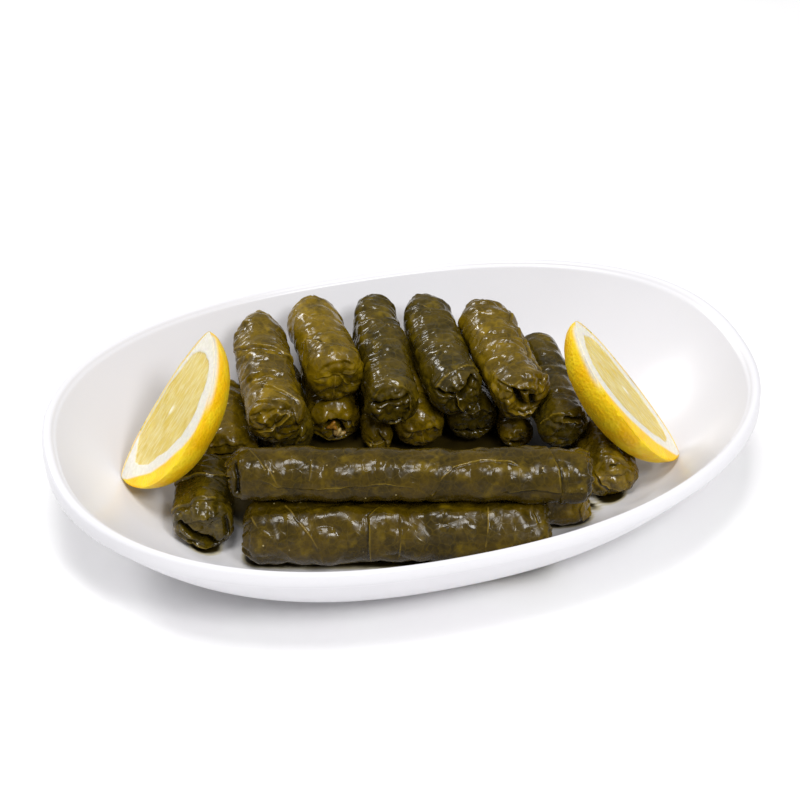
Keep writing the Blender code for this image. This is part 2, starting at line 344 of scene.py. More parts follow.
@dataclass(frozen=True)
class FreshCutLemon:
    """Fresh lemon cut with a knife: waxed dimpled zest, dull white pith, wet translucent pulp."""

    def build(self) -> Material:
        """Make the wedge's material.

        Returns:
            The material, which turns from zest to pulp by the attributes pith, flesh and core.
        """
        kit = NodeKit("fresh_cut_lemon")
        drift = kit.ramp(kit.noise(9.0, 2.0), 0.35, 0.7)
        zest = kit.blend(drift, "#FBC503", "#FFDA1E")
        # Oil glands are about 1 mm across, a little darker in their middles.
        glands = add_node(
            kit.tree,
            "ShaderNodeTexVoronoi",
            {"feature": "SMOOTH_F1"},
            {"Scale": per_mm(1.2), "Smoothness": 0.6},
            {"Vector": kit.place},
        ).outputs[0]
        zest = kit.blend(kit.ramp(glands, 0.05, 0.45, 0.25, 0.0), zest, "#E8A600")
        fibres = kit.ramp(kit.noise(1.4, 3.0, 2.0), 0.3, 0.75)
        pith = kit.blend(fibres, "#DFDBCE", "#EAE7DB")
        sacs = add_node(
            kit.tree,
            "ShaderNodeTexNoise",
            {"noise_dimensions": "2D"},
            {"Scale": 1.0, "Detail": 3.0, "Roughness": 0.6},
            {"Vector": add_node(kit.tree, "ShaderNodeUVMap", {"uv_map": "sacs"}).outputs[0]},
        ).outputs[0]
        flesh = kit.blend(kit.ramp(kit.noise(8.0, 2.0), 0.3, 0.7), "#D8BE58", "#DDC97A")
        flesh = kit.blend(kit.ramp(sacs, 0.42, 0.7, 0.0, 0.65), flesh, "#E8DCA6")
        flesh = kit.blend(kit.ramp(sacs, 0.42, 0.25, 0.0, 0.4), flesh, "#C8A83E")
        flesh = kit.blend(kit.ramp(kit.attribute("core"), 0.15, 0.9), flesh, "#F8F3DC")
        to_pith = kit.ramp(kit.attribute("pith"), 0.0, 1.0)
        to_flesh = kit.ramp(kit.attribute("flesh"), 0.05, 0.95)
        kit.feed("Base Color", kit.blend(to_flesh, kit.blend(to_pith, zest, pith), flesh))
        kit.feed("Roughness", kit.ramp(kit.attribute("flesh"), 0.0, 1.0, 0.42, 0.3))
        kit.set(IOR=1.42, Subsurface_Weight=0.35, Subsurface_Scale=4.5 * MM)
        kit.set(Subsurface_Radius=(1.0, 0.8, 0.25))
        pores = kit.blend(to_pith, glands, "#808080")
        kit.bump([(sacs, 0.10), (pores, 0.22), (kit.noise(0.7, 1.0, 4.0), 0.03)])
        return kit.material


@dataclass(frozen=True)
class CookedRice:
    """Rice cooked in tomato and oil: soft pale grains, a little browned, with a damp shine."""

    hex_colour: str

    def build(self) -> Material:
        """Make the filling's material.

        Returns:
            The material.
        """
        kit = NodeKit("cooked_rice_" + self.hex_colour[1:].lower())
        tint = kit.ramp(kit.noise(1.5, 2.0), 0.3, 0.7, 0.0, 0.5)
        kit.feed("Base Color", kit.blend(tint, self.hex_colour, "#8A5A1C"))
        kit.set(Roughness=0.32, IOR=1.45, Subsurface_Weight=0.15, Subsurface_Scale=1.0 * MM)
        return kit.material


@dataclass(frozen=True)
class StudioPaper:
    """Seamless white background paper: matt and even."""

    def build(self) -> Material:
        """Make the floor's material.

        Returns:
            The material.
        """
        kit = NodeKit("white_studio_paper")
        grain = kit.ramp(kit.noise(30.0, 1.0), 0.3, 0.7)
        kit.feed("Base Color", kit.blend(grain, "#FCFBFC", "#FDFDFD"))
        kit.set(Roughness=0.9)
        return kit.material


# Shaping

SIDE_MARKS = ("vein", "edge", "crease_shade")
RIDGE_MEAN = 0.4
SIDE_REACH_MM = 9.0
END_REACH_MM = 4.5
END_MARK_SHARE = 1.4


def smooth_step(value: Array) -> Array:
    """Ease from 0 to 1 as value runs from 0 to 1."""
    clipped = np.clip(value, 0.0, 1.0)
    return clipped * clipped * (3 - 2 * clipped)


def lattice_noise(points: Array, cell: float, seed: int) -> Array:
    """Return smooth noise between -1 and 1.

    Args:
        points: Places, one row each.
        cell: Size of a feature in the points' own unit.
        seed: Number of the pattern.

    Returns:
        One value for each point.
    """
    scaled = points / cell + 37.3 * seed
    corner = np.floor(scaled).astype(np.int64)
    part = scaled - corner
    part = part * part * (3 - 2 * part)
    total = np.zeros(len(points))
    for step in np.ndindex(2, 2, 2):
        at = corner + np.array(step)
        mixed = (at[:, 0] * 73856093) ^ (at[:, 1] * 19349663) ^ (at[:, 2] * 83492791)
        mixed = (mixed * 1103515245 + 12345) & 0x7FFFFFFF
        mixed = ((mixed ^ (mixed >> 13)) * 1274126177) & 0x7FFFFFFF
        weight = np.prod(np.where(step, part, 1 - part), axis=1)
        total += weight * (mixed / 0x3FFFFFFF - 1)
    return total


def ridges(points: Array, cell: float, seed: int) -> Array:
    """Return creased noise: 1 along thin ridges and falling off between them."""
    return 1 - 2 * np.abs(lattice_noise(points, cell, seed))


def bell(value: Array, width: float) -> Array:
    """Return 1 where the value is 0, falling off over the width on both sides."""
    return np.exp(-((value / width) ** 2))


def blank(count: int) -> Relief:
    """Return a flat relief: a height and every painted mark, all 0."""
    return {name: np.zeros(count) for name in ("height", *SIDE_MARKS)}


def line_field(place: Array, points: Array) -> tuple[Array, Array]:
    """Measure places against a bent line.

    Args:
        place: Places in a plane, one row each.
        points: The line's points in that plane.

    Returns:
        The signed distance to the line, positive on its left, and how far past its ends it is.
    """
    best = np.full(len(place), np.inf)
    signed = np.zeros(len(place))
    beyond = np.zeros(len(place))
    for index, (start, end) in enumerate(zip(points[:-1], points[1:])):
        run = end - start
        length = float(np.hypot(*run)) or 1e-9
        run = run / length
        rel = place - start
        along = rel @ run
        side = rel[:, 1] * run[0] - rel[:, 0] * run[1]
        over = np.maximum(np.maximum(-along, along - length), 0.0)
        distance = np.hypot(side, over)
        nearer = distance < best
        best = np.where(nearer, distance, best)
        signed = np.where(nearer, np.where(side < 0, -distance, distance), signed)
        past = np.zeros(len(place))
        if index == 0:
            past = np.maximum(past, -along)
        if index == len(points) - 2:
            past = np.maximum(past, along - length)
        beyond = np.where(nearer, past, beyond)
    return signed, beyond


class MarkKind(Enum):
    """What a line on a leaf is."""

    VEIN = "vein"
    EDGE = "edge"
    SLIT = "slit"


@dataclass(frozen=True)
class LeafMark:
    """A vein, a leaf's edge or an open slit, as a line on a roll's side or end.

    On the side its points are (millimetres along, degrees of turn), on an end (right, up) in
    millimetres from the roll's middle. over is the raised side: 1 is left of the line.
    """

    kind: MarkKind
    points: tuple[Point, ...]
    over: int = 1
    size: float = 0.5

    def add_to(self, found: Relief, place: Array, line: Array, reach: float, share: float) -> None:
        """Add the mark's height and paint to a relief.

        Args:
            found: The relief, which is changed.
            place: Places on the unrolled side or on the end, in millimetres.
            line: The mark's points in the same plane.
            reach: Millimetres over which a leaf that lies on top runs down again.
            share: Strength of the height.
        """
        signed, beyond = line_field(place, line)
        fade = bell(np.maximum(beyond, 0.0), 1.5)
        spread = np.stack([place[:, 0], place[:, 1], np.full(len(place), 3.0)], axis=1)
        broken = fade * smooth_step(0.55 + 1.3 * lattice_noise(spread, 4.0, len(self.points)))
        if self.kind is MarkKind.VEIN:
            shape = bell(signed, 0.27)
            height = 0.34 * self.size * shape * fade
            # Beside the raised vein runs a thin line of painted shade.
            painted = {"vein": shape * broken, "crease_shade": bell(signed - 0.5, 0.3) * broken * 0.35}
        elif self.kind is MarkKind.SLIT:
            shape = bell(signed, 0.55 * self.size) * fade
            height = -1.6 * self.size * shape
            # The open slit is filled with painted shade.
            painted = {"crease_shade": shape}
        else:
            side = signed * self.over
            lift = self.size * smooth_step(side / 0.4 + 0.5) * np.exp(-np.maximum(side, 0.0) / reach)
            rim = bell(side - 0.25, 0.22) * fade
            gap = bell(side + 0.55, 0.4) * fade
            height = lift * fade + 0.10 * rim - 0.3 * self.size * gap
            # Painted shadow in the gap under the overlying leaf edge.
            edge_gap_shade = gap * (0.35 + 0.65 * broken) * min(0.85, 0.85 * self.size)
            painted = {"edge": rim * (0.4 + 0.6 * broken), "crease_shade": edge_gap_shade}
        found["height"] += share * height
        for name, value in painted.items():
            found[name] = np.maximum(found[name], value)


def vein(*points: Point, size: float = 0.5) -> LeafMark:
    """Make a vein."""
    return LeafMark(MarkKind.VEIN, points, 1, size)


def edge(*points: Point, over: int = 1, size: float = 0.75) -> LeafMark:
    """Make a leaf's edge."""
    return LeafMark(MarkKind.EDGE, points, over, size)


def slit(*points: Point, size: float = 1.2) -> LeafMark:
    """Make an open slit."""
    return LeafMark(MarkKind.SLIT, points, 1, size)


def mesh_object(
    name: str, shape: Shape, material: Material, node: str
) -> bpy.types.Object:
    """Put a finished shape in the scene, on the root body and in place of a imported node.

    Args:
        name: The piece's name.
        shape: The bmesh, which is freed.
        material: Its material.
        node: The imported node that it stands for.

    Returns:
        The new object.
    """
    mesh = bpy.data.meshes.new(name)
    shape.to_mesh(mesh)
    shape.free()
    mesh.materials.append(material)
    mesh.shade_smooth()
    piece = bpy.data.objects.new(name, mesh)
    bpy.context.scene.collection.objects.link(piece)
    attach(piece, "root")
    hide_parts(node)
    LOG.info("%s: %d vertices", piece.name, len(mesh.vertices))
    return piece


def spun(profile: list[Point], steps: int, arc: float = 2 * math.pi) -> Shape:
    """Spin a profile of (radius, along) points round the Z axis.

    Args:
        profile: Points from one pole to the other, in millimetres.
        steps: Steps round.
        arc: Angle of the spin.

    Returns:
        The spun shape, closed where its poles and its two sides meet.
    """
    shape = bmesh.new()
    bmesh.ops.create_grid(shape, x_segments=steps, y_segments=len(profile) - 1, size=1.0)
    spots = (coordinates(shape) + 1) / 2
    turn = spots[:, 0] * arc
    row = np.rint(spots[:, 1] * (len(profile) - 1)).astype(int)
    radius, along = np.array(profile)[row].T
    set_coordinates(shape, np.stack([radius * np.cos(turn), radius * np.sin(turn), along], axis=1))
    seam = [vert for vert in shape.verts if vert.is_boundary]
    bmesh.ops.remove_doubles(shape, verts=seam, dist=1e-4)
    bmesh.ops.recalc_face_normals(shape, faces=shape.faces[:])
    return shape


def coordinates(shape: Shape) -> Array:
    """Return a bmesh's vertex places, one row each."""
    return np.array([vert.co[:] for vert in shape.verts], dtype=float)


def set_coordinates(shape: Shape, places: Array) -> None:
    """Move a bmesh's vertices."""
    for vert, place in zip(shape.verts, places.tolist()):
        vert.co = place


def paint(shape: Shape, name: str, values: Array) -> None:
    """Store one number for each vertex.

    Args:
        shape: The bmesh.
        name: Attribute name that the materials read.
        values: One value for each vertex.
    """
    layer = shape.verts.layers.float.get(name) or shape.verts.layers.float.new(name)
    for vert, value in zip(shape.verts, values.tolist()):
        vert[layer] = value


# Rolls

# Grid steps of the rolls that show and of those that mostly don't.
SEEN_MM = 0.33
HIDDEN_MM = 0.45
TUCK_MM = 0.9
FAR_END_SHARE = 0.55
END_BLEND_MM = 4.0
END_DIP = 0.07
END_DIP_MM = 5.0
SIDE_FROM, SIDE_FADE = 0.72, 0.28
RAY_REACH_M = 0.03
SOUND_STEP_MM = 3.5
SOUND_STEP_DEG = 7.5


@dataclass
class LeafRoll:
    """One stuffed leaf roll: its place, its tone and the marks on its side and near end.

    crinkle, ring, facets and pucker are strengths of its wrinkles: fine, round the roll, flat and
    at the near end. lip is how far the rim of a tucked end stands out, and swell thickens the roll.
    far_point is the far end's taper: its length, its tip's share of the width, and its shift aside.
    """

    node: str
    near: Place
    far: Place
    diameter: float
    tone: LeafTone
    seed: int
    crinkle: float = 1.0
    ring: float = 1.0
    facets: float = 0.4
    corner: float = 5.5
    far_corner: float = 3.5
    grid: float = SEEN_MM
    marks: tuple[LeafMark, ...] = ()
    end_marks: tuple[LeafMark, ...] = ()
    filling: bool = False
    lip: float = 0.7
    pucker: float = 0.9
    swell: float = 0.0
    far_point: Place = (5.0, 0.9, 0.0)

    def __post_init__(self) -> None:
        """Work out the roll's own axes: right, along and up."""
        near, far = np.array(self.near), np.array(self.far)
        self.length = float(np.linalg.norm(far - near))
        self.along = (far - near) / self.length
        up = np.array([0.0, 0.0, 1.0])
        up -= self.along * up.dot(self.along)
        self.up = up / np.linalg.norm(up)
        self.right = np.cross(self.along, self.up)
        self.start = near
        self.radius = self.diameter / 2

    def world(self, local: Array) -> Array:
        """Turn (right, along, up) millimetres into metres in the scene's frame."""
        turned = local[:, :1] * self.right + local[:, 1:2] * self.along + local[:, 2:] * self.up
        return (turned + self.start) * MM

    def sound(self) -> None:
        """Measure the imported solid's radius by rays from the roll's axis."""
        mesh = frame_mesh(self.node)
        stop = self.length - SOUND_STEP_MM
        rows = max(int(self.length / SOUND_STEP_MM), 4)
        self.sound_along = np.linspace(SOUND_STEP_MM, stop, rows)
        turns = np.radians(np.arange(0, 360, SOUND_STEP_DEG))
        table = np.full((len(self.sound_along), len(turns)), self.radius)
        for row, distance in enumerate(self.sound_along):
            middle = Vector(((self.start + self.along * distance) * MM).tolist())
            for column, turn in enumerate(turns):
                way = Vector((self.right * math.sin(turn) + self.up * math.cos(turn)).tolist())
                hit = mesh.ray_cast(middle, way, RAY_REACH_M)
                if hit[0] is not None:
                    table[row, column] = hit[3] / MM
        blurred = table.copy()
        for shift in (-1, 1):
            blurred += np.roll(table, shift, axis=1)
        self.table = blurred / 3

    def radius_at(self, along: Array, turn: Array) -> Array:
        """Return the solid's radius in millimetres at places along and round the roll.

        Args:
            along: Millimetres from the near end.
            turn: Radians from the top.

        Returns:
            The radius at each place.
        """
        rows, columns = self.table.shape
        first, second = self.sound_along[:2]
        spot = np.clip((along - first) / (second - first), 0, rows - 1.001)
        row = spot.astype(int)
        row_part = spot - row
        step = np.degrees(turn) % 360 / SOUND_STEP_DEG
        column = step.astype(int) % columns
        part = step - np.floor(step)
        after = (column + 1) % columns
        low = self.table[row, column] * (1 - part) + self.table[row, after] * part
        high = self.table[row + 1, column] * (1 - part) + self.table[row + 1, after] * part
        return low * (1 - row_part) + high * row_part

    def profile(self, step: float) -> list[Point]:
        """Return the outline that is spun round the roll's axis.

        Args:
            step: Millimetres between points.

        Returns:
            (radius, along) points from the near end's middle to the far end's middle.
        """
        ends = []
        for corner in (self.corner, self.far_corner):
            flat = self.radius - corner
            count = max(int(flat / step), 6)
            bend = max(int(corner * math.pi / 2 / step), 5)
            turns = [math.pi / 2 * i / bend for i in range(bend + 1)]
            cap = [(flat * i / count, 0.0) for i in range(count)]
            arc = [(flat + corner * math.sin(a), corner * (1 - math.cos(a))) for a in turns]
            ends.append(cap + arc)
        near, far = ends
        body = self.length - self.corner - self.far_corner
        rows = max(int(body / step), 10)
        side = [(self.radius, self.corner + body * i / rows) for i in range(1, rows)]
        return near + side + [(radius, self.length - along) for radius, along in far[::-1]]

    def random_folds(self, draw: np.random.Generator) -> list[LeafMark]:
        """Draw the folds of an unseen end: chords whose outer part lies on top.

        Args:
            draw: The roll's own random numbers.

        Returns:
            The folds, the lowest first.
        """
        folds = []
        first = draw.uniform(0, 360)
        for index in range(3):
            turn = math.radians(first + 120 * index + draw.uniform(-25, 25))
            out = np.array([math.sin(turn), math.cos(turn)])
            chord = np.array([out[1], -out[0]])
            offset = draw.uniform(0.05, 0.4) * self.radius
            line = []
            for part in (-1, -0.2, 0.4, 1):
                spot = out * (offset + draw.uniform(-1, 1)) + chord * part * self.radius * 0.9
                line.append(tuple(spot))
            folds.append(edge(*line, size=draw.uniform(0.6, 0.9)))
        return folds

    def side_relief(self, along: Array, turn: Array) -> Relief:
        """Return the leaf's height over the solid on the side, and its painted attributes.

        Args:
            along: Millimetres from the near end.
            turn: Radians from the top.

        Returns:
            Arrays named height, vein, edge and crease_shade.
        """
        round_x, round_z = np.sin(turn) * self.radius, np.cos(turn) * self.radius
        plain = np.stack([round_x, along, round_z], axis=1)
        rings = np.stack([round_x / 3.4, along + 0.25 * round_x, round_z / 3.4], axis=1)
        slanted = np.stack([round_x / 2.6, along - 0.45 * round_x, round_z / 2.6], axis=1)
        where = smooth_step(0.85 + 0.8 * lattice_noise(plain, 11.0, self.seed + 3))
        where *= 0.35 + 0.65 * smooth_step((np.cos(turn) + 0.1) / 0.6)
        found = blank(len(along))
        found["height"] = 0.50 * lattice_noise(plain, 9.0, self.seed)
        for depth, pattern, cell, offset in (
            (-0.62 * self.ring * where, rings, 3.2, 5),
            (0.26 * self.ring * where, slanted, 3.0, 6),
            (-0.55 * self.facets, plain, 8.5, 11),
            (-0.16 * self.facets, plain, 5.2, 12),
            (-0.20 * self.crinkle, plain, 4.6, 7),
            (0.10 * self.crinkle, plain, 3.2, 10),
            (-0.70 * self.pucker * np.exp(-along / 8.0), plain, 3.6, 13),
        ):
            found["height"] += depth * (ridges(pattern, cell, self.seed + offset) - RIDGE_MEAN)
        across = (turn + math.pi) % (2 * math.pi) * self.radius - math.pi * self.radius
        across = across + 0.25 * lattice_noise(plain, 2.5, self.seed + 9)
        unrolled = np.stack([along, across], axis=1)
        for mark in self.marks:
            line = np.array([(a, math.radians(t) * self.radius) for a, t in mark.points])
            mark.add_to(found, unrolled, line, SIDE_REACH_MM, 1.0)
        return found

    def end_relief(self, across: Array, up: Array, near: bool) -> Relief:
        """Return how far an end stands out along the roll, and its painted attributes.

        Args:
            across: Millimetres to the right of the roll's middle.
            up: Millimetres above it.
            near: Whether this is the near end.

        Returns:
            Arrays named height, vein, edge and crease_shade.
        """
        draw = np.random.default_rng(self.seed * 2 + near)
        share = np.clip(np.hypot(across, up) / self.radius, 0, 1)
        turn = np.arctan2(across, up)
        depth = np.full(len(across), 40.0 * near + 5.0)
        place = np.stack([across, depth, up], axis=1)
        height = -TUCK_MM * (1 - smooth_step((share - 0.35) / 0.55))
        count = int(draw.integers(9, 14))
        pleat = np.sin(count * turn + 2.0 * lattice_noise(place, 5.0, self.seed + 20))
        height += 0.28 * pleat * smooth_step((share - 0.3) / 0.3) * smooth_step((1.0 - share) / 0.2)
        height -= 0.75 * (ridges(place, 6.0, self.seed + 21) - 0.3)
        height -= 0.85 * (ridges(place, 3.4, self.seed + 22) - 0.3)
        ring = np.stack([np.sin(turn) * 6, depth, np.cos(turn) * 6], axis=1)
        stand = smooth_step(0.55 + 1.1 * lattice_noise(ring, 5.0, self.seed + 23)) * self.lip
        height += stand * bell(share - 0.93, 0.06)
        groove = stand * bell(share - 0.80, 0.07)
        height -= 0.9 * groove
        found = blank(len(across)) | {"height": height}
        # Painted shade in the groove inside the end's standing lip.
        found["crease_shade"] = np.clip(groove, 0, 1) * 0.7
        found["edge"] = stand * bell(share - 0.95, 0.04) * 0.6
        flat = np.stack([across, up], axis=1)
        flat = flat + 0.3 * lattice_noise(place, 2.2, self.seed + 24)[:, None]
        for mark in self.end_marks if near and self.end_marks else self.random_folds(draw):
            mark.add_to(found, flat, np.array(mark.points), END_REACH_MM, END_MARK_SHARE)
        found["height"] *= 1.0 if near else FAR_END_SHARE
        return found

    def build(self) -> bpy.types.Object:
        """Make the roll's mesh, dress it and put it in place of its node.

        Returns:
            The dressed roll.
        """
        self.sound()
        step = self.grid * 1.0
        shape = spun(self.profile(step), int(2 * math.pi * self.radius / step))
        local = coordinates(shape)
        rho = np.hypot(local[:, 0], local[:, 1])
        turn = np.arctan2(local[:, 0], local[:, 1])
        along = local[:, 2].copy()
        to_end = np.minimum(along, self.length - along)
        on_near = along < self.length / 2
        ground = self.radius_at(along, turn)
        ground = ground - END_DIP * self.radius * (1 - smooth_step(to_end / END_DIP_MM))
        share = rho / self.radius
        side = self.side_relief(along, turn)
        weight = smooth_step((share - SIDE_FROM) / SIDE_FADE)
        out = rho * ground / self.radius + side["height"] * weight + self.swell * weight
        reach, tip, aside = self.far_point
        into = np.clip((self.length - along) / reach, 0, 1)
        pinch = tip + (1 - tip) * np.sqrt(1 - (1 - into) ** 2)
        across = np.sin(turn) * out * pinch + aside * (1 - pinch) * self.radius
        up = np.cos(turn) * out * pinch + (1 - pinch) * self.radius
        ends = blank(len(along))
        end_weight = smooth_step((END_BLEND_MM - to_end) / END_BLEND_MM)
        for near in (True, False):
            chosen = (on_near == near) & (end_weight > 0)
            part = self.end_relief(across[chosen], up[chosen], near)
            for name in ends:
                ends[name][chosen] = part[name] * end_weight[chosen]
        along = along + np.where(on_near, -1.0, 1.0) * ends["height"]
        places = self.world(np.stack([across, along, up], axis=1))
        set_coordinates(shape, places)
        for name in SIDE_MARKS:
            paint(shape, name, np.maximum(side[name] * weight, ends[name]))
        # Painted shade: the leaf darkens towards the roll's underside, less on its ends.
        paint(shape, "underside_shade", smooth_step((0.3 - up / self.radius) / 1.1) * (0.15 + 0.85 * weight))
        bmesh.ops.recalc_face_normals(shape, faces=shape.faces[:])
        piece = mesh_object(self.node + "_leaf", shape, leaf_material(self.tone), self.node)
        if self.filling:
            self.add_filling()
        return piece

    def add_filling(self) -> None:
        """Put a few grains of the filling where the near end is open.
        """
        draw = np.random.default_rng(self.seed + 100)
        for name, colour, spots in (
            ("rice", "#A8925A", ((0.9, -2.4, 35), (1.9, -3.9, 70), (-0.2, -1.4, 10))),
            ("onion", "#96681C", ((-1.5, 1.3, 30), (-0.7, 0.5, -35), (-2.1, 0.4, 60))),
        ):
            grains = bmesh.new()
            for right, up, tilt in spots:
                made = bmesh.ops.create_icosphere(grains, subdivisions=3, radius=1.0)["verts"]
                size = Matrix.Diagonal((0.95, 1.0, 2.1 + draw.uniform(-0.3, 0.3), 1.0))
                turn = Matrix.Rotation(math.radians(tilt), 4, "Y")
                turn = turn @ Matrix.Rotation(draw.uniform(-0.5, 0.5), 4, "X")
                place = Matrix.Translation((right, draw.uniform(-0.1, 0.5), up))
                bmesh.ops.transform(grains, matrix=place @ turn @ size, verts=made)
            places = coordinates(grains)
            places += 0.12 * lattice_noise(places, 0.9, self.seed)[:, None]
            set_coordinates(grains, self.world(places))
            mesh_object(f"{self.node}_{name}", grains, CookedRice(colour).build(), self.node)


@cache
def leaf_material(tone: LeafTone) -> Material:
    """Return the one material of a leaf tone."""
    return CookedVineLeaf(tone).build()


def frame_mesh(node: str) -> BVHTree:
    """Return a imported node's surface for ray casts.

    Args:
        node: The node's name.

    Returns:
        The tree of its triangles.
    """
    mesh = bpy.data.objects[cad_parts[node].name].data
    mesh.calc_loop_triangles()
    verts = [vert.co[:] for vert in mesh.vertices]
    return BVHTree.FromPolygons(verts, [triangle.vertices[:] for triangle in mesh.loop_triangles])


OLIVE, DEEP, DARK, YELLOW = LeafTone

